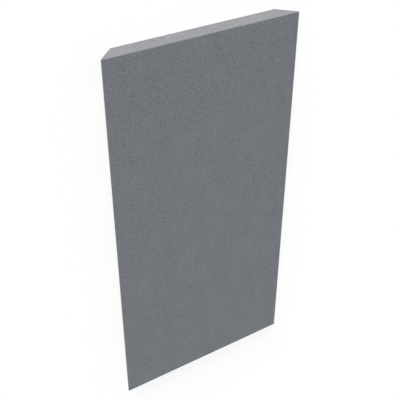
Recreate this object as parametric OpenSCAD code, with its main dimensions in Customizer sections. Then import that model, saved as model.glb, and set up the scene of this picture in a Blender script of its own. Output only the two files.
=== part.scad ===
// Corner bass trap: a bevelled timber frame round a mineral wool slab, wrapped in woven fabric
// and closed at the back with a thin black cloth. It lies on its back with the face up.
// X runs across the panel, +Y towards the end that is on top in use, +Z out of the face.
// The origin is the middle of the back cloth's outer surface. All sizes are in millimetres.

/* [Finished panel] */
// Width across the face, from tip to tip of the two bevelled sides
panel_w = 609.6; // [400:0.1:900]
// Height of the panel in use, which is its length as it lies
panel_h = 1219.2; // [600:0.1:2400]
// Angle between each bevelled side and the face
bevel_angle = 45; // [35:1:80]

/* [Timber frame] */
// Depth of the frame boards, which is also the thickness of the wool slab
board_d = 50.8; // [38:0.1:102]
// Thickness of the two bevelled side boards
stile_t = 19; // [12:0.5:25]
// Thickness of the two end boards
rail_t = 19; // [12:0.5:25]
// Radius that the frame's outer arrises are sanded to
arris_r = 1.2; // [0.5:0.1:3]

/* [Mineral wool slab] */
// Gap between the slab and the boards round it
slab_gap = 0.2; // [0:0.1:0.5]

/* [Face fabric] */
// Thickness of the woven fabric
fabric_t = 0.8; // [0.4:0.1:2]
// Width of fabric turned onto the back along each edge
turn_w = 25; // [15:1:40]

/* [Back cloth] */
// Thickness of one layer of the back cloth
cloth_t = 0.4; // [0.2:0.1:1]
// How far the back cloth stops short of the panel's back edges
cloth_margin = 10; // [4:1:14]
// Width of the hem that is folded under along each edge of the back cloth
hem_w = 12; // [8:1:20]

/* [Hidden] */
$fn = 48;

// Levels above the floor, from the back cloth up to the face
turn_z = 2 * cloth_t;
frame_back_z = turn_z + fabric_t;
frame_face_z = frame_back_z + board_d;

// The rounded edges of the frame and of the fabric over it share their centres
fabric_r = arris_r + fabric_t;
low_z = frame_back_z + arris_r;
high_z = frame_face_z - arris_r;
tip_x = panel_w / 2 - fabric_r;
end_y = panel_h / 2 - fabric_r;

// Half width of the panel at height z, taken inset inwards at right angles to the bevelled side
// from the line through the centres of its rounded edges
function half_w(z, inset) =
    tip_x - (high_z - z) / tan(bevel_angle) - inset / sin(bevel_angle);

// Insets of the side boards' inner faces, and the ends of the bay between the end boards
stile_inset = stile_t - arris_r;
bay_y = end_y + arris_r - rail_t;

// Half sizes of the flat back inside the fabric's outer corners
back_x = half_w(turn_z, -fabric_r);
back_y = panel_h / 2;

// How far cutting shapes run past what they cut
past = 5;

// Runs a section drawn in X and Z along the length, between the two Y values
module along_length(y_from, y_to)
    translate([0, y_to, 0]) rotate([90, 0, 0]) linear_extrude(y_to - y_from) children();

// Runs a profile drawn in Y and Z across the whole width
module across_width()
    rotate([90, 0, 90]) linear_extrude(panel_w + 2 * past, center = true) children();

// Outline of a skin pulled tight round circles of radius r, whose centres run anticlockwise
module taut_outline(centres, r) {
    count = len(centres);
    polygon([
        for (i = [0:count - 1])
            let (
                from = centres[i],
                to = centres[(i + 1) % count],
                way = (to - from) / norm(to - from),
                out = r * [way.y, -way.x]
            )
            each [from + out, to + out]
    ]);
    for (centre = centres)
        translate(centre) circle(r);
}

// The panel's whole shape with its edges rounded to radius r: the frame's at arris_r, and the
// fabric's over it at fabric_r
module panel_form(r) {
    section = [
        [half_w(low_z, 0), low_z], [tip_x, high_z],
        [-tip_x, high_z], [-half_w(low_z, 0), low_z],
    ];
    profile = [[-end_y, low_z], [end_y, low_z], [end_y, high_z], [-end_y, high_z]];
    intersection() {
        along_length(-panel_h / 2 - past, panel_h / 2 + past) taut_outline(section, r);
        across_width() taut_outline(profile, r);
    }
}

// Section of the bay between the side boards, with its sides moved in by inset
module bay_section(z_from, z_to, inset)
    polygon([
        [-half_w(z_from, inset), z_from], [half_w(z_from, inset), z_from],
        [half_w(z_to, inset), z_to], [-half_w(z_to, inset), z_to],
    ]);

// A side board, ripped at the bevel angle along both edges. side is 1 on the right, -1 on the left
module stile(side)
    color("burlywood") intersection() {
        panel_form(arris_r);
        along_length(-panel_h / 2 - past, panel_h / 2 + past) polygon([
            for (edge = [[low_z - past, stile_inset], [low_z - past, -past],
                         [high_z + past, -past], [high_z + past, stile_inset]])
                [side * half_w(edge[0], edge[1]), edge[0]]
        ]);
    }

// An end board, with both ends cut at the bevel angle to butt against the side boards
module rail(y_from, y_to)
    color("burlywood") intersection() {
        panel_form(arris_r);
        along_length(y_from, y_to)
            bay_section(low_z - past, high_z + past, stile_inset);
    }

module wool_slab()
    color("darkkhaki") along_length(slab_gap - bay_y, bay_y - slab_gap)
        bay_section(frame_back_z, frame_face_z, stile_inset + slab_gap);

// One piece of fabric over the face, the sides and the ends, turned onto the back all round
module face_fabric()
    color("slategray") difference() {
        panel_form(fabric_r);
        panel_form(arris_r);
        linear_extrude(low_z)
            square(2 * [back_x - turn_w, back_y - turn_w], center = true);
    }

// A flat cloth over the back, on a hem folded under along its four edges
module back_cloth() {
    cloth = 2 * [back_x - cloth_margin, back_y - cloth_margin];
    color("dimgray") difference() {
        linear_extrude(turn_z) square(cloth, center = true);
        translate([0, 0, cloth_t]) linear_extrude(turn_z)
            square(cloth - 2 * [hem_w, hem_w], center = true);
    }
}

stile(-1);  // left_stile
stile(1);  // right_stile
rail(bay_y, panel_h / 2);  // top_rail
rail(-panel_h / 2, -bay_y);  // bottom_rail
wool_slab();
face_fabric();
back_cloth();
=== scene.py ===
from math import pi, radians, sin, tan

import bmesh
import bpy
import numpy as np
from mathutils import Matrix


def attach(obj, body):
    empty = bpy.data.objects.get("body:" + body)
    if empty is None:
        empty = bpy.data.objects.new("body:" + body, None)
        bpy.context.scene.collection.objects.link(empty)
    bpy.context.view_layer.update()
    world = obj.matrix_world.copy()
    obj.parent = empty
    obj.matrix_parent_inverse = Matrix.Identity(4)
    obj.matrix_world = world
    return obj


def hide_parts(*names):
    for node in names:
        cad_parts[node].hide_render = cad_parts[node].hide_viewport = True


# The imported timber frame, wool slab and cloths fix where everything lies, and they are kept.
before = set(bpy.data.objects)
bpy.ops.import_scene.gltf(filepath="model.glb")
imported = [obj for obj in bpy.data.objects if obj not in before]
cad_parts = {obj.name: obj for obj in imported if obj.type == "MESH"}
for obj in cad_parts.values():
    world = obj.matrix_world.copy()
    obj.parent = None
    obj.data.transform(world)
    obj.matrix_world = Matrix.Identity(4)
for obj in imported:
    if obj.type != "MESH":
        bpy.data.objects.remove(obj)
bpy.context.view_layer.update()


# Camera. The photograph shows the panel standing, seen from above its top end and from its
# left. Panel and camera are laid down together here, so the camera looks down on the face.
mm = 0.001
panel_length = 1219.2 * mm
face_z = 53.2 * mm

# Where it stood, in metres from the middle of the foot of the standing panel's face, and the way
# it looked. Both were solved, with the focal length, from the corners of the panel's outline
stood_at = (-0.9677, -1.5461, 1.9868)
turned_by = radians(-31.47)
tipped_by = radians(35.51)
focal_length = 66.37
sensor_width = 36

laid_down = Matrix.Translation((0, -panel_length / 2, face_z)) @ Matrix.Rotation(-pi / 2, 4, "X")
camera = bpy.data.objects.new("camera", bpy.data.cameras.new("camera"))
camera.data.sensor_width = sensor_width
camera.data.lens = focal_length
camera.data.clip_start = 0.05
camera.data.clip_end = 100
camera.matrix_world = (
    laid_down
    @ Matrix.Translation(stood_at)
    @ Matrix.Rotation(turned_by, 4, "Z")
    @ Matrix.Rotation(pi / 2 - tipped_by, 4, "X")
)
bpy.context.scene.collection.objects.link(camera)
bpy.context.scene.camera = camera
bpy.context.scene.view_settings.view_transform = "Standard"


# Studio. A plain white floor in white surroundings, with one wide soft light low down beyond
# the head end. It lights that end about twice as brightly as the face, as in the photograph.
def linear(hex_colour):
    """The linear colour, with alpha, of an sRGB hex colour."""
    parts = [int(hex_colour[i : i + 2], 16) / 255 for i in (1, 3, 5)]
    return [c / 12.92 if c <= 0.04045 else ((c + 0.055) / 1.055) ** 2.4 for c in parts] + [1]


def add(tree, kind, inputs=(), **settings):
    """Adds a node, makes its settings, and gives each of its inputs a value or a link."""
    made = tree.nodes.new(kind)
    for name, value in settings.items():
        setattr(made, name, value)
    for key, value in dict(inputs).items():
        if isinstance(value, bpy.types.NodeSocket):
            tree.links.new(value, made.inputs[key])
        else:
            made.inputs[key].default_value = value
    return made


def new_material(name):
    """A new material, and its node tree with nothing in it yet."""
    made = bpy.data.materials.new(name)
    made.use_nodes = True
    made.node_tree.nodes.clear()
    return made, made.node_tree


def sees_studio(tree):
    """1 for rays that see the studio directly, in a reflection or through glass, otherwise 0."""
    ray = add(tree, "ShaderNodeLightPath").outputs
    seen = add(tree, "ShaderNodeMath", {0: ray["Is Camera Ray"], 1: ray["Is Glossy Ray"]},
               operation="MAXIMUM")
    return add(tree, "ShaderNodeMath", {0: seen.outputs[0], 1: ray["Is Transmission Ray"]},
               operation="MAXIMUM").outputs[0]


world = bpy.data.worlds.new("studio")
bpy.context.scene.world = world
world.use_nodes = True
world.node_tree.nodes.clear()
all_round = add(world.node_tree, "ShaderNodeMixRGB",
                {"Fac": sees_studio(world.node_tree), "Color1": linear("#B8C0C6"),
                 "Color2": linear("#FFFFFF")})
surroundings = add(world.node_tree, "ShaderNodeBackground",
                   {"Color": all_round.outputs[0], "Strength": 1.0})
add(world.node_tree, "ShaderNodeOutputWorld", {"Surface": surroundings.outputs[0]})

# A lamp of strength pi shows a surface that faces it squarely in its written colour. The face
# gets about half of its light from this one, at a low slant, and the other half from all round
light_strength = 1.6 * pi
light_spread = radians(28)
light_height = radians(19)
light_aside = radians(18)
light = bpy.data.objects.new("soft_light", bpy.data.lights.new("soft_light", "SUN"))
light.data.energy = light_strength
light.data.color = linear("#FFF7F0")[:3]
light.data.angle = light_spread
light.rotation_euler = (light_height - pi / 2, 0, light_aside)
bpy.context.scene.collection.objects.link(light)

# White paint, which to the camera and in reflections mostly glows by itself, so that only the
# rest of it shows the panel's shadow
floor_half = 15
glow_share = 0.85
floor_corners = [(-floor_half, -floor_half, 0), (floor_half, -floor_half, 0),
                 (floor_half, floor_half, 0), (-floor_half, floor_half, 0)]
floor = bpy.data.objects.new("floor", bpy.data.meshes.new("floor"))
floor.data.from_pydata(floor_corners, [], [(0, 1, 2, 3)])
bpy.context.scene.collection.objects.link(floor)
white_floor, tree = new_material("white_floor")
painted = add(tree, "ShaderNodeBsdfDiffuse", {"Color": linear("#FFFFFF")})
glow = add(tree, "ShaderNodeEmission", {"Color": linear("#FFFFFF"), "Strength": 1.0})
share = add(tree, "ShaderNodeMapRange", {"Value": sees_studio(tree), "To Max": glow_share})
both = add(tree, "ShaderNodeMixShader",
           {0: share.outputs[0], 1: painted.outputs[0], 2: glow.outputs[0]})
add(tree, "ShaderNodeOutputMaterial", {"Surface": both.outputs[0]})
floor.data.materials.append(white_floor)


# Timber frame. Four planed pine boards, butted and glued, the two long ones ripped at 45
# degrees. The end boards are cut to butt against them, and every outer arris is sanded.
def planed_pine(name, quarter_turns):
    """Softwood from the planer, half matt: pale, with darker growth rings that run out into grain
    along Y, or along X after one quarter turn."""
    wood, tree = new_material(name)
    place = add(tree, "ShaderNodeTexCoord").outputs["Object"]
    along = add(tree, "ShaderNodeMapping",
                {"Vector": place, "Rotation": (0, 0, quarter_turns * pi / 2)})

    # Growth rings 3 mm apart, round a heart well off to one side of every board. The texture
    # turns through 20 radians in each unit
    ring_gap = 3 * mm
    panel_from_heart = (40 * mm, 0, -90 * mm)
    slope_along = 0.04
    wave_angle = 20
    ring_place = add(tree, "ShaderNodeMapping",
                     {"Vector": along.outputs[0], "Location": panel_from_heart,
                      "Scale": (1, slope_along, 1)})
    rings = add(tree, "ShaderNodeTexWave",
                {"Vector": ring_place.outputs[0], "Scale": 2 * pi / wave_angle / ring_gap,
                 "Distortion": 2.5, "Detail": 3, "Detail Scale": 0.35},
                wave_type="RINGS", rings_direction="Y", wave_profile="SAW")
    ring_tone = add(tree, "ShaderNodeValToRGB", {"Fac": rings.outputs["Fac"]})
    ring_tone.color_ramp.elements[0].color = linear("#DFC08E")
    ring_tone.color_ramp.elements[1].color = linear("#BE9058")

    # Fibres 0.4 mm across and some 27 mm long
    fibre = 0.4 * mm
    width_to_length = 0.015
    fibre_place = add(tree, "ShaderNodeMapping",
                      {"Vector": along.outputs[0], "Scale": (1, width_to_length, 1)})
    fibres = add(tree, "ShaderNodeTexNoise",
                 {"Vector": fibre_place.outputs[0], "Scale": 1 / fibre, "Detail": 2})
    fibre_tone = add(tree, "ShaderNodeValToRGB", {"Fac": fibres.outputs["Fac"]})
    fibre_tone.color_ramp.elements[0].color = linear("#D2C8BC")
    fibre_tone.color_ramp.elements[1].color = linear("#FFFFFF")
    tone = add(tree, "ShaderNodeMixRGB",
               {"Fac": 0.8, "Color1": ring_tone.outputs[0], "Color2": fibre_tone.outputs[0]},
               blend_type="MULTIPLY")
    grain = add(tree, "ShaderNodeBump",
                {"Height": fibres.outputs["Fac"], "Distance": 0.1 * mm, "Strength": 0.5})
    planed = add(tree, "ShaderNodeBsdfPrincipled",
                 {"Base Color": tone.outputs[0], "Roughness": 0.55, "Normal": grain.outputs[0]})
    add(tree, "ShaderNodeOutputMaterial", {"Surface": planed.outputs[0]})
    return wood


for wood, boards in ((planed_pine("planed_pine_long", 0), ("left_stile", "right_stile")),
                     (planed_pine("planed_pine_cross", 1), ("top_rail", "bottom_rail"))):
    for board in boards:
        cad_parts[board].material_slots[0].material = wood


# Mineral wool slab. Stone fibres bound with resin, pressed into board and cut to fit the frame.
# It is a dull olive brown, matted and rough, in thin layers that show along its cut edges:
# tufts of fibre about 6 mm across lie in layers about 1.5 mm thick.
stone_wool, tree = new_material("stone_wool_board")
place = add(tree, "ShaderNodeTexCoord").outputs["Object"]
tuft = 6 * mm
layer_thick = 1.5 * mm
layered = add(tree, "ShaderNodeMapping", {"Vector": place, "Scale": (1, 1, tuft / layer_thick)})
tufts = add(tree, "ShaderNodeTexNoise",
            {"Vector": layered.outputs[0], "Scale": 1 / tuft, "Detail": 8, "Roughness": 0.7,
             "Distortion": 1.2})
wool_tone = add(tree, "ShaderNodeValToRGB", {"Fac": tufts.outputs["Fac"]})
wool_tone.color_ramp.elements[0].position = 0.3
wool_tone.color_ramp.elements[0].color = linear("#7C7148")
wool_tone.color_ramp.elements[1].position = 0.75
wool_tone.color_ramp.elements[1].color = linear("#B3A878")
shaggy = add(tree, "ShaderNodeBump",
             {"Height": tufts.outputs["Fac"], "Distance": 1 * mm, "Strength": 0.8})
matted = add(tree, "ShaderNodeBsdfPrincipled",
             {"Base Color": wool_tone.outputs[0], "Roughness": 0.95, "Normal": shaggy.outputs[0]})
add(tree, "ShaderNodeOutputMaterial", {"Surface": matted.outputs[0]})
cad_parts["wool_slab"].material_slots[0].material = stone_wool


# Face fabric. One piece of woven polyester pulled over the face, the bevelled sides and the
# ends, and stapled under the back. Each corner's spare cloth is tucked flat behind the side.
panel_width = 609.6 * mm
bevel = radians(45)
frame_arris = 1.2 * mm
fabric_thick = 0.8 * mm
turned_under = 25 * mm
back_z = 0.8 * mm
staple_pitch = 50 * mm

# Centres of the rounded edges, which the frame and the fabric over it share
edge_round = frame_arris + fabric_thick
tip_x = panel_width / 2 - edge_round
end_y = panel_length / 2 - edge_round
high_z = face_z - edge_round
low_z = back_z + edge_round
side_inset = (high_z - low_z) / tan(bevel)

# The flat back, and how far the turned-under cloth reaches in from the centres of the low edges
back_half_width = tip_x - (high_z - back_z) / tan(bevel) + edge_round / sin(bevel)
reach_x = tip_x - side_inset - (back_half_width - turned_under)
reach_y = end_y - (panel_length / 2 - turned_under)


def ease(value, start, stop):
    """Rises smoothly from 0 at start to 1 at stop."""
    share = np.clip((value - start) / (stop - start), 0, 1)
    return share * share * (3 - 2 * share)


def both_ways(steps):
    """Places on both sides of the middle, with the middle once, from those on one side."""
    return np.concatenate([-steps[steps > 0][::-1], steps])


def in_columns(*rows):
    """Points or directions from their coordinates, each a net of numbers or one that repeats."""
    return np.stack(np.broadcast_arrays(*rows), axis=-1).astype(float)


# Rows down a side and under the back, as shares of the way: closer together at the edges
down_shares = np.concatenate([[0.01], np.linspace(0.045, 0.955, 24), [0.99, 1]])
under_shares = np.array([0.03, 0.12, 0.22, 0.32, 0.42, 0.7, 1])


def down_a_side(facing, inset, reach, high_steps, low_steps):
    """Rows from the face's edge, round it, down the side, round the low edge and in under the
    back: how far in each row is, its height, the way it faces, and the cloth's length to it."""
    high_turn = np.linspace(0, facing, high_steps + 1)
    low_turn = np.linspace(facing, pi, low_steps + 1)[1:]
    inward = np.concatenate([0 * high_turn, inset * down_shares, inset + 0 * low_turn,
                             inset + reach * under_shares])
    height = np.concatenate([high_z + 0 * high_turn, high_z - (high_z - low_z) * down_shares,
                             low_z + 0 * low_turn, low_z + 0 * under_shares])
    faces = np.concatenate([high_turn, facing + 0 * down_shares, low_turn, pi + 0 * under_shares])
    edge = np.stack([edge_round * np.sin(faces) - inward, height + edge_round * np.cos(faces)])
    travel = np.concatenate([[0], np.cumsum(np.hypot(*np.diff(edge, axis=1)))])
    return [row[:, None] for row in (inward, height, faces, travel)]


# Slight unevenness of stretched cloth: a dozen low ripples that add up to a tenth of a millimetre
# or two. Their rates are in radians for each metre
chance = np.random.default_rng(5)
ripple_count = 12
lowest, highest = 0.02 * mm, 0.05 * mm
rate_across, rate_along = 45, 30
ripples = [(chance.uniform(lowest, highest), chance.normal(0, rate_across),
            chance.normal(0, rate_along), chance.uniform(0, 2 * pi)) for _ in range(ripple_count)]


def uneven(across, along):
    """Height of the ripples at a place on the flat cloth."""
    return sum(high * np.sin(one_rate * across + other_rate * along + start)
               for high, one_rate, other_rate, start in ripples)


# Columns along the panel lie close together near the ends, for the folded lip at each corner.
# From the end inwards the lip's cloth lies low, turns back and up over itself, and goes on a
# fold higher: the three rows give its place on the flat cloth, its place once folded, both from
# the end, and its share of the fold's height
lip_flat = np.array([0, 0.35, 0.7, 1.05, 1.4, 1.75, 2.1, 2.5, 3]) * mm
lip_folded = np.array([0, 0.9, 1.15, 0.75, 0.45, 0.6, 1.05, 1.8, 3]) * mm
lip_rise = np.array([0, 0, 0.08, 0.2, 0.5, 0.77, 0.95, 1, 1])
beyond_lip = np.concatenate([[4, 5.5, 7.5, 10], np.linspace(13, 97, 29)]) * mm
near_end = np.concatenate([lip_flat, beyond_lip])
last_near = near_end[-1]
middle = np.linspace(0, end_y - last_near, 43, endpoint=False)
columns = both_ways(np.concatenate([middle, end_y - near_end[::-1]]))
from_end = end_y - np.abs(columns)

# Places that lie closer together than this are one place
touching = 0.002 * mm
near = from_end < last_near + touching

# The fold comes up as it leaves the face, spreads below a diagonal from the corner, and is
# pressed flat under the back. Each pair here and below is where a change starts and ends
fold_height = 1.5 * mm
fold_grows = (1 * mm, 12 * mm)
past_diagonal = (-1 * mm, 17 * mm)
pressed_flat = (5 * mm, 9.5 * mm)
floor_gap = 0.08 * mm

# The cloth is tightest beside edges and folds, and pulled in a little above each staple
calm_by_fold = (12 * mm, 60 * mm)
calm_by_side = (3 * mm, 40 * mm)
calm_by_edge = (4 * mm, 20 * mm)
calm_on_face = (2 * mm, 60 * mm)
calm_down_low = (0 * mm, 15 * mm)
pull_depth = 0.15 * mm
pull_fade = 12 * mm


def stretched(free, ripple, staple_line, above_low_edge):
    """How far the cloth stands out where it is free to: its ripples, less its staples' pull."""
    pull = 0.5 + 0.5 * np.cos(2 * pi * staple_line / staple_pitch)
    pull_left = np.exp(-np.abs(above_low_edge) / pull_fade)
    return free * (ripple * ease(above_low_edge, *calm_down_low) - pull_depth * pull * pull_left)


# The weave comes round again after this length, both ways. Inner sides lie a few repeats aside
# on the map of the flat cloth, so that only outer sides lie on the map's first square
cloth_repeat = 400 * mm
aside = 8
nets = []


def cover(outer_centre, inner_centre, way, lift, flat_place, rim=False):
    """Lays a net of fabric: its outer side, its inner side on the frame, and its cut edge."""
    outer = outer_centre + way * np.asarray(edge_round + lift)[..., None]
    inner = inner_centre + way * frame_arris
    nets.append((outer, flat_place))
    nets.append((inner, flat_place + [aside * cloth_repeat, 0]))
    if rim:
        rim_place = np.stack([flat_place[-1], flat_place[-1] + [fabric_thick, fabric_thick]])
        nets.append((np.stack([outer[-1], inner[-1]]), rim_place))


# The bevelled sides, with the folded lip of the side layer near each corner
inward, height, faces, travel = down_a_side(pi - bevel, side_inset, reach_x, high_steps=9,
                                            low_steps=4)
under_back = np.clip(inward - side_inset, 0, None)
mitre_y = end_y - under_back * reach_y / reach_x
flat_y = np.where(near, mitre_y - from_end,
                  np.abs(columns) * (mitre_y - last_near) / (end_y - last_near))
grown = ease(travel, *fold_grows)
folded_y = flat_y - grown * np.interp(from_end, lip_flat, lip_folded - lip_flat, right=0)
fold = (fold_height * grown * np.interp(from_end, lip_flat, lip_rise)
        * ease(travel - from_end, *past_diagonal) * (1 - ease(under_back, *pressed_flat)))
free = ease(from_end, *calm_by_fold) * ease(travel, *calm_by_edge)
above_low_edge = travel[-1] - reach_x - travel
lift = fold + stretched(free, uneven(travel, columns), columns, above_low_edge)
# Round the low edge and under the back, it stands out no further than there is room
past_the_side = radians(1)
turned_down = faces > pi - bevel + past_the_side
room = height + edge_round * np.cos(faces) - floor_gap
room = room / np.where(turned_down, -np.cos(faces), 1)
lift = np.where(turned_down, np.minimum(lift, room), lift)
for side in (-1, 1):
    folded_centre, flat_centre = [
        in_columns(side * (tip_x - inward), np.sign(columns) * y, height)
        for y in (folded_y, flat_y)
    ]
    cover(folded_centre, flat_centre, in_columns(side * np.sin(faces), 0, np.cos(faces)), lift,
          in_columns(side * (tip_x + travel), np.sign(columns) * flat_y), rim=True)

# The rounded corner edges, where the end's fabric passes in behind the side layer
end_steps = 6
around = np.linspace(0, pi / 2, end_steps + 1)
rows = slice(0, -len(under_shares))
for side in (-1, 1):
    for end in (-1, 1):
        way = in_columns(side * np.sin(around) * np.sin(faces[rows]), end * np.cos(around),
                         np.sin(around) * np.cos(faces[rows]))
        centre = in_columns(side * (tip_x - inward[rows]), end * end_y, height[rows])
        flat_place = in_columns(side * (tip_x + travel[rows]),
                                end * (end_y + edge_round * (pi / 2 - around)))
        cover(centre, centre, way, 0, flat_place)

# The two ends, in columns that are even in the middle and closer together beside each tip
even_across = np.linspace(0, tip_x - 40 * mm, 23)
beside_tip = np.array([28, 18, 10, 5, 2, 0.7, 0]) * mm
across = both_ways(np.concatenate([even_across, tip_x - beside_tip])) / tip_x
end_inward, end_height, end_faces, end_travel = down_a_side(
    pi / 2, 0, reach_y, high_steps=end_steps, low_steps=end_steps
)
half_here = tip_x - (high_z - end_height) / tan(bevel) - end_inward * reach_x / reach_y
x_here = across * half_here
free = ease(half_here - np.abs(x_here), *calm_by_side) * ease(end_travel, *calm_by_edge)
above_low_edge = end_travel[-1] - reach_y - end_travel
lift = stretched(free, uneven(x_here, end_travel), x_here, above_low_edge)
for end in (-1, 1):
    centre = in_columns(x_here, end * (end_y - end_inward), end_height)
    cover(centre, centre, in_columns(0, end * np.sin(end_faces), np.cos(end_faces)), lift,
          in_columns(x_here, end * (end_y + end_travel)), rim=True)

# The face
x_here, y_here = np.meshgrid(across * tip_x, columns)
free = ease(tip_x - np.abs(x_here), *calm_on_face) * ease(end_y - np.abs(y_here), *calm_on_face)
centre = in_columns(x_here, y_here, high_z)
cover(centre, centre, in_columns(0, 0, 1), free * uneven(x_here, y_here),
      in_columns(x_here, y_here))

# The name of the map that holds each point's place on the flat cloth, which the materials
# read. An export that bakes the patterns does so through a map of this name
map_name = "OFBake"


def sewn(name, nets, repeat):
    """One mesh from nets of points, joined where they meet. Its map holds each point's place on
    the flat cloth, counted in repeats of the pattern from the middle of one."""
    points, places, quads = [], [], []
    first = 0
    for net, flat_place in nets:
        index = first + np.arange(net.shape[0] * net.shape[1]).reshape(net.shape[:2])
        corners = index[:-1, :-1], index[1:, :-1], index[1:, 1:], index[:-1, 1:]
        quads.append(np.stack(corners, -1).reshape(-1, 4))
        points.append(net.reshape(-1, 3))
        places.append(flat_place.reshape(-1, 2))
        first += index.size
    mesh = bpy.data.meshes.new(name)
    mesh.from_pydata(np.concatenate(points), [], np.concatenate(quads).tolist())
    corner_of = np.empty(len(mesh.loops), int)
    mesh.loops.foreach_get("vertex_index", corner_of)
    on_map = np.concatenate(places)[corner_of] / repeat + 0.5
    layer = mesh.uv_layers.new(name=map_name)
    layer.data.foreach_set("uv", on_map.astype(np.float32).ravel())
    work = bmesh.new()
    work.from_mesh(mesh)
    bmesh.ops.remove_doubles(work, verts=work.verts, dist=touching)
    bmesh.ops.recalc_face_normals(work, faces=work.faces)
    if work.calc_volume(signed=True) < 0:
        bmesh.ops.reverse_faces(work, faces=work.faces)
    for face in work.faces:
        face.smooth = True
    work.to_mesh(mesh)
    work.free()
    made = bpy.data.objects.new(name, mesh)
    bpy.context.scene.collection.objects.link(made)
    return made


fabric = sewn("grey_face_fabric", nets, cloth_repeat)

# Plain-woven polyester of light and dark fibres spun together: a matt, heathered mid grey with a
# fine speckle and hardly any shine. Real threads lie 0.8 mm apart. They are drawn 2 mm apart, so
# that the weave still shows
woven, tree = new_material("woven_grey_polyester")
on_map = add(tree, "ShaderNodeUVMap", uv_map=map_name).outputs["UV"]
thread = 2 * mm
threads_a_repeat = cloth_repeat / thread
in_threads = add(tree, "ShaderNodeVectorMath", {0: on_map, 1: (threads_a_repeat,) * 3},
                 operation="MULTIPLY").outputs[0]
warp_on_top = add(tree, "ShaderNodeTexChecker", {"Vector": in_threads, "Scale": 1.0}).outputs["Fac"]
# The same place with X across the thread that is on top there, and Y along it
plain = add(tree, "ShaderNodeSeparateXYZ", {0: in_threads}).outputs
crossed = add(tree, "ShaderNodeCombineXYZ", {0: plain[1], 1: plain[0]}).outputs[0]
on_thread = add(tree, "ShaderNodeMix", {0: warp_on_top, 4: crossed, 5: in_threads},
                data_type="VECTOR").outputs[1]
within = add(tree, "ShaderNodeVectorMath", {0: on_thread}, operation="FRACTION").outputs[0]
half_turn = add(tree, "ShaderNodeVectorMath", {0: within, 1: (pi, pi, 0)},
                operation="MULTIPLY").outputs[0]
rounded = add(tree, "ShaderNodeVectorMath", {0: half_turn}, operation="SINE").outputs[0]
over = add(tree, "ShaderNodeSeparateXYZ", {0: rounded}).outputs
arched = add(tree, "ShaderNodeMapRange", {"Value": over[1], "To Min": 0.4}).outputs[0]
relief = add(tree, "ShaderNodeMath", {0: over[0], 1: arched}, operation="MULTIPLY").outputs[0]

# The yarn's shade drifts every 4 mm or so, and each thread differs from the next. A repeat's
# length of thread is read round a circle, so that its shade joins up
drift = 4 * mm
next_thread = 0.73
other_way = 0.37
floored = add(tree, "ShaderNodeVectorMath", {0: on_thread}, operation="FLOOR").outputs[0]
number = add(tree, "ShaderNodeVectorMath",
             {0: floored, 1: (threads_a_repeat,) * 3, 2: (0, 0, 0)}, operation="WRAP").outputs[0]
own_place = add(tree, "ShaderNodeVectorMath", {0: number, 1: (next_thread, 0, 0)},
                operation="DOT_PRODUCT").outputs["Value"]
own_place = add(tree, "ShaderNodeMath", {0: warp_on_top, 1: other_way, 2: own_place},
                operation="MULTIPLY_ADD").outputs[0]
run = add(tree, "ShaderNodeSeparateXYZ", {0: on_thread}).outputs[1]
round_it = add(tree, "ShaderNodeMath", {0: run, 1: 2 * pi / threads_a_repeat},
               operation="MULTIPLY").outputs[0]
yarn_place = add(tree, "ShaderNodeCombineXYZ",
                 {0: add(tree, "ShaderNodeMath", {0: round_it}, operation="COSINE").outputs[0],
                  1: add(tree, "ShaderNodeMath", {0: round_it}, operation="SINE").outputs[0],
                  2: own_place})
yarn_tone = add(tree, "ShaderNodeTexNoise",
                {"Vector": yarn_place.outputs[0], "Scale": cloth_repeat / drift / (2 * pi),
                 "Detail": 1.0})
heather = add(tree, "ShaderNodeValToRGB", {"Fac": yarn_tone.outputs["Fac"]})
heather.color_ramp.elements[0].position = 0.28
heather.color_ramp.elements[0].color = linear("#64686E")
heather.color_ramp.elements[1].position = 0.72
heather.color_ramp.elements[1].color = linear("#888B90")

# Fibres twisted round each thread, a sixth of its width apart, catch the light as fine streaks,
# other ones at each crossing
twist = radians(20)
fibres_across = 6
unlike = (7.31, 3.77, 0)
twisted = add(tree, "ShaderNodeMapping",
              {"Vector": within, "Rotation": (0, 0, twist), "Scale": (fibres_across, 1, 1)})
crossing = add(tree, "ShaderNodeVectorMath", {0: number, 1: unlike},
               operation="DOT_PRODUCT").outputs["Value"]
fibres = add(tree, "ShaderNodeTexNoise",
             {"Vector": twisted.outputs[0], "W": crossing, "Scale": 1.0, "Detail": 2.0},
             noise_dimensions="4D").outputs["Fac"]
streaks = add(tree, "ShaderNodeMapRange",
              {"Value": fibres, "From Min": 0.25, "From Max": 0.75, "To Min": 0.86,
               "To Max": 1.14}).outputs[0]


def round_twice(tree, on_map):
    """Four coordinates for a place, with the map bent round into a circle both ways, so that a
    pattern drawn on them joins up after each repeat."""
    turned = add(tree, "ShaderNodeVectorMath", {0: on_map, 1: (2 * pi,) * 3},
                 operation="MULTIPLY").outputs[0]
    cosines, sines = [
        add(tree, "ShaderNodeSeparateXYZ",
            {0: add(tree, "ShaderNodeVectorMath", {0: turned}, operation=kind).outputs[0]}).outputs
        for kind in ("COSINE", "SINE")
    ]
    vector = add(tree, "ShaderNodeCombineXYZ", {0: cosines[0], 1: sines[0], 2: cosines[1]})
    return {"Vector": vector.outputs[0], "W": sines[1]}


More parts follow.
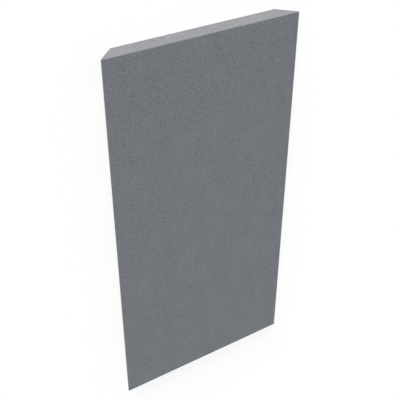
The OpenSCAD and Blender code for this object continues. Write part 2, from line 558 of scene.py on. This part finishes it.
# The cloth as a whole is a little lighter and darker in patches some 60 mm across
patch = 60 * mm
patches = add(tree, "ShaderNodeTexNoise",
              {**round_twice(tree, on_map), "Scale": cloth_repeat / patch / (2 * pi),
               "Detail": 1.0}, noise_dimensions="4D").outputs["Fac"]
patch_tone = add(tree, "ShaderNodeMapRange",
                 {"Value": patches, "From Min": 0.3, "From Max": 0.7, "To Min": 0.965,
                  "To Max": 1.035}).outputs[0]
# Painted shade between the threads: the colour darkens to 0.6 of itself where they dip low, and
# keeps it on their crowns
painted_gap_shade = add(tree, "ShaderNodeMapRange",
              {"Value": relief, "From Max": 0.6, "To Min": 0.6}).outputs[0]
shade = add(tree, "ShaderNodeMath", {0: painted_gap_shade, 1: streaks}, operation="MULTIPLY").outputs[0]
shade = add(tree, "ShaderNodeMath", {0: shade, 1: patch_tone}, operation="MULTIPLY").outputs[0]
shaded = add(tree, "ShaderNodeVectorMath", {0: heather.outputs[0], 1: shade},
             operation="MULTIPLY").outputs[0]
fibre_relief = 0.25
raised = add(tree, "ShaderNodeMath", {0: fibres, 1: fibre_relief, 2: relief},
             operation="MULTIPLY_ADD")
weave = add(tree, "ShaderNodeBump",
            {"Height": raised.outputs[0], "Distance": 0.3 * mm, "Strength": 0.8})
fuzzy = add(tree, "ShaderNodeMapRange", {"Value": relief, "To Min": 1.0, "To Max": 0.85}).outputs[0]
matt = add(tree, "ShaderNodeBsdfPrincipled",
           {"Base Color": shaded, "Roughness": fuzzy, "Specular IOR Level": 0.2,
            "Normal": weave.outputs[0]})
add(tree, "ShaderNodeOutputMaterial", {"Surface": matt.outputs[0]})
fabric.data.materials.append(woven)
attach(fabric, "root")
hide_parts("face_fabric")


# Back cloth. Thin black spun-bonded polypropylene that closes the back. Its edges are folded
# under into a hem, and the staples draw it up into small dimples along all four sides.
cloth_thick = 0.4 * mm
cloth_margin = 10 * mm
hem = 12 * mm
staple_inset = 5 * mm
crown = 10 * mm
crown_high = 0.5 * mm
cloth_half = np.array([back_half_width, panel_length / 2]) - cloth_margin

# Lines across the cloth, as distances from its edge: at the round of its fold, along the crowns
# and over the end of the hem. Further in than the last of them they lie about each crown
at_fold = np.array([0, 0.05, 0.15, 0.4]) * mm
along_crowns = np.array([1.4, 2.6, 3.6, 4.4, 5, 5.6, 6.4, 7.6, 9.5]) * mm
over_hem = np.array([11.6, 12, 15]) * mm
about_crown = np.array([-25, -10, -7.5, -6, -4.5, 0, 4.5, 6, 7.5, 10, 25]) * mm
inside_hem = 17 * mm


def staples_along(half_run):
    """Places of the staples along one side, evenly spaced about its middle."""
    count = int((half_run - staple_inset) * 2 / staple_pitch)
    return (np.arange(count) - (count - 1) / 2) * staple_pitch


def cloth_lines(half_run):
    """Places of the lines across the cloth, from one edge to the other. Lines that coincide
    become one once they are rounded to a nanometre."""
    outer = both_ways(half_run - np.concatenate([at_fold, along_crowns, over_hem]))
    inner = (staples_along(half_run)[:, None] + about_crown).ravel()
    inner = inner[np.abs(inner) < half_run - inside_hem]
    return np.unique(np.round(np.concatenate([inner, outer]), 9))


cloth_x, cloth_y = np.meshgrid(cloth_lines(cloth_half[0]), cloth_lines(cloth_half[1]))
from_edge = np.minimum(cloth_half[0] - np.abs(cloth_x), cloth_half[1] - np.abs(cloth_y))

# Each staple draws up a dimple along its crown, a little deeper than the wire is thick, which
# fades out over these distances past the crown's ends and beside it
fade_past, fade_beside = 2.6 * mm, 2.2 * mm
dimple_depth = crown_high + 0.05 * mm
dimples = 0 * cloth_x
staple_places = []
for along_y, half_run, half_other in ((1, cloth_half[1], cloth_half[0]),
                                      (0, cloth_half[0], cloth_half[1])):
    for place in staples_along(half_run):
        for side in (-1, 1):
            line = side * (half_other - staple_inset)
            staple_places.append((line, place, along_y) if along_y else (place, line, along_y))
            off_line, off_place = (cloth_x, cloth_y) if along_y else (cloth_y, cloth_x)
            past_crown = np.clip(np.abs(off_place - place) - crown / 2, 0, None)
            apart = (past_crown / fade_past) ** 2 + ((off_line - line) / fade_beside) ** 2
            dimples = np.maximum(dimples, np.exp(-apart))

# Between its hems the cloth has a little slack, in ripples twice as high as the face fabric's,
# a little closer together across and further apart along
mean_slack = 0.12 * mm
higher, closer_across, wider_along = 2, 1.3, 0.8
full_slack_from = 60 * mm
slack = mean_slack + higher * uneven(closer_across * cloth_x, wider_along * cloth_y)
slack = np.clip(slack, 0, None) * ease(from_edge, hem, full_slack_from)

# The folded edge is round outside, and the hem is two layers thick with a flat upper side
least_thick = 0.1 * mm
bull_nose = np.sqrt(cloth_thick**2 - (cloth_thick - np.clip(from_edge, 0, cloth_thick)) ** 2)
in_hem = from_edge < hem - cloth_thick / 2
under_side = cloth_thick - bull_nose + dimple_depth * dimples + slack
upper_side = np.where(in_hem, 2 * cloth_thick, under_side + cloth_thick)
upper_side = np.where(from_edge <= cloth_thick, cloth_thick + bull_nose, upper_side)
under_side = np.minimum(under_side, upper_side - least_thick * (from_edge > cloth_thick / 2))

# Heat bonds stand 1.8 mm apart in rows on the diagonal. Their pattern comes round again after
# a hundred of their squares, from corner to corner
bond_gap = 1.8 * mm
bonds_a_repeat = 100
bond_repeat = bonds_a_repeat * bond_gap * 2**0.5
flat_place = in_columns(cloth_x, cloth_y)
back_cloth = sewn("black_back_cloth", [
    (in_columns(cloth_x, cloth_y, under_side), flat_place),
    (in_columns(cloth_x, cloth_y, upper_side), flat_place + [aside * bond_repeat, 0]),
], bond_repeat)

# Spun-bonded polypropylene is a thin felt of black fibres, melted together at many small points:
# dull black with lighter wisps, and smooth where each bond, 0.7 mm wide, is pressed in
spun_bonded, tree = new_material("spun_bonded_polypropylene")
on_map = add(tree, "ShaderNodeUVMap", uv_map=map_name).outputs["UV"]
diagonal = add(tree, "ShaderNodeMapping",
               {"Vector": on_map, "Rotation": (0, 0, pi / 4),
                "Scale": (bond_repeat / bond_gap,) * 3})
bonds = add(tree, "ShaderNodeTexVoronoi",
            {"Vector": diagonal.outputs[0], "Scale": 1.0, "Randomness": 0.0},
            voronoi_dimensions="2D").outputs["Distance"]
bond_dip = add(tree, "ShaderNodeMapRange",
               {"Value": bonds, "From Min": 0.15, "From Max": 0.3}).outputs[0]
# Wisps of fibre some 2.5 mm across
wisp = 2.5 * mm
wisps = add(tree, "ShaderNodeTexNoise",
            {**round_twice(tree, on_map), "Scale": bond_repeat / wisp / (2 * pi),
             "Detail": 5, "Distortion": 1.5}, noise_dimensions="4D").outputs["Fac"]
cloth_tone = add(tree, "ShaderNodeValToRGB", {"Fac": wisps})
cloth_tone.color_ramp.elements[0].position = 0.35
cloth_tone.color_ramp.elements[0].color = linear("#16171A")
cloth_tone.color_ramp.elements[1].position = 0.7
cloth_tone.color_ramp.elements[1].color = linear("#2A2B2E")
bond_shine = add(tree, "ShaderNodeMapRange",
                 {"Value": bond_dip, "To Min": 0.45, "To Max": 0.75}).outputs[0]
pressed_in = add(tree, "ShaderNodeBump",
                 {"Height": bond_dip, "Distance": 0.12 * mm, "Strength": 0.6})
felted = add(tree, "ShaderNodeBsdfPrincipled",
             {"Base Color": cloth_tone.outputs[0], "Roughness": bond_shine,
              "Normal": pressed_in.outputs[0]})
add(tree, "ShaderNodeOutputMaterial", {"Surface": felted.outputs[0]})
back_cloth.data.materials.append(spun_bonded)
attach(back_cloth, "root")
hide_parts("back_cloth")


# Staples. Zinc-plated wire, flattened to 1.2 by 0.5 mm, driven through the hem and the fabric
# into the boards. Each crown lies along the panel's edge, in the dimple that it has drawn.
wire_wide = 1.2 * mm
leg = 4 * mm
taper = 0.8 * mm
corner_turn = 0.5 * mm
off_floor = 0.03 * mm

# The wire's path from the crown round one corner and up the leg to its point, then both ways
bend_steps = 3
turn = np.linspace(0, pi / 2, bend_steps + 1)
bend_out = crown / 2 - corner_turn + corner_turn * np.sin(turn)
bend_up = corner_turn - corner_turn * np.cos(turn)
half_out = np.concatenate([bend_out, [bend_out[-1]] * 2])
half_up = np.concatenate([bend_up, [leg - taper, leg]])
half_facing = np.concatenate([turn, [pi / 2] * 2])
path_out = np.concatenate([-half_out[::-1], half_out])
path_up = np.concatenate([half_up[::-1], half_up])
facing_out = np.concatenate([-half_facing[::-1], half_facing])[:, None]

# Its section, a flattened round, which closes to a point at both ends
section_steps = 8
ring = np.linspace(0, 2 * pi, section_steps + 1)
flat_cos = np.sign(np.cos(ring)) * np.abs(np.cos(ring)) ** 0.5
flat_sin = np.sign(np.sin(ring)) * np.abs(np.sin(ring)) ** 0.5
full = np.ones((len(path_out), 1))
full[[0, -1]] = 0
across_wire = full * wire_wide / 2 * flat_cos
deep = full * crown_high / 2 * flat_sin
along = path_out[:, None] + deep * np.sin(facing_out)
upward = off_floor + crown_high / 2 + path_up[:, None] - deep * np.cos(facing_out)

wire_length = np.concatenate([[0], np.cumsum(np.hypot(np.diff(path_out), np.diff(path_up)))])
wire_round = pi * mm
on_wire = in_columns((wire_length - wire_length[-1] / 2)[:, None],
                     (ring / (2 * pi) - 0.5) * wire_round)
wire_repeat = 20 * mm
wire_nets = []
for x, y, along_y in staple_places:
    if along_y:
        points = in_columns(x + across_wire, y + along, upward)
    else:
        points = in_columns(x + along, y + across_wire, upward)
    wire_nets.append((points, on_wire))
staples = sewn("back_staples", wire_nets, wire_repeat)

# Drawn steel wire with a thin coat of zinc: a pale, bluish metal, half bright, with fine drawing
# lines 0.1 mm apart and some 2 mm long
zinc_wire, tree = new_material("zinc_plated_wire")
line_gap = 0.1 * mm
width_to_length = 0.05
on_map = add(tree, "ShaderNodeUVMap", uv_map=map_name).outputs["UV"]
drawn = add(tree, "ShaderNodeMapping", {"Vector": on_map, "Scale": (width_to_length, 1, 1)})
lines = add(tree, "ShaderNodeTexNoise",
            {"Vector": drawn.outputs[0], "Scale": wire_repeat / line_gap, "Detail": 1},
            noise_dimensions="2D").outputs["Fac"]
wire_tone = add(tree, "ShaderNodeValToRGB", {"Fac": lines})
wire_tone.color_ramp.elements[0].color = linear("#B4B6B8")
wire_tone.color_ramp.elements[1].color = linear("#D2D3D4")
wire_shine = add(tree, "ShaderNodeMapRange",
                 {"Value": lines, "To Min": 0.25, "To Max": 0.45}).outputs[0]
plated = add(tree, "ShaderNodeBsdfPrincipled",
             {"Base Color": wire_tone.outputs[0], "Metallic": 1.0, "Roughness": wire_shine})
add(tree, "ShaderNodeOutputMaterial", {"Surface": plated.outputs[0]})
staples.data.materials.append(zinc_wire)
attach(staples, "root")
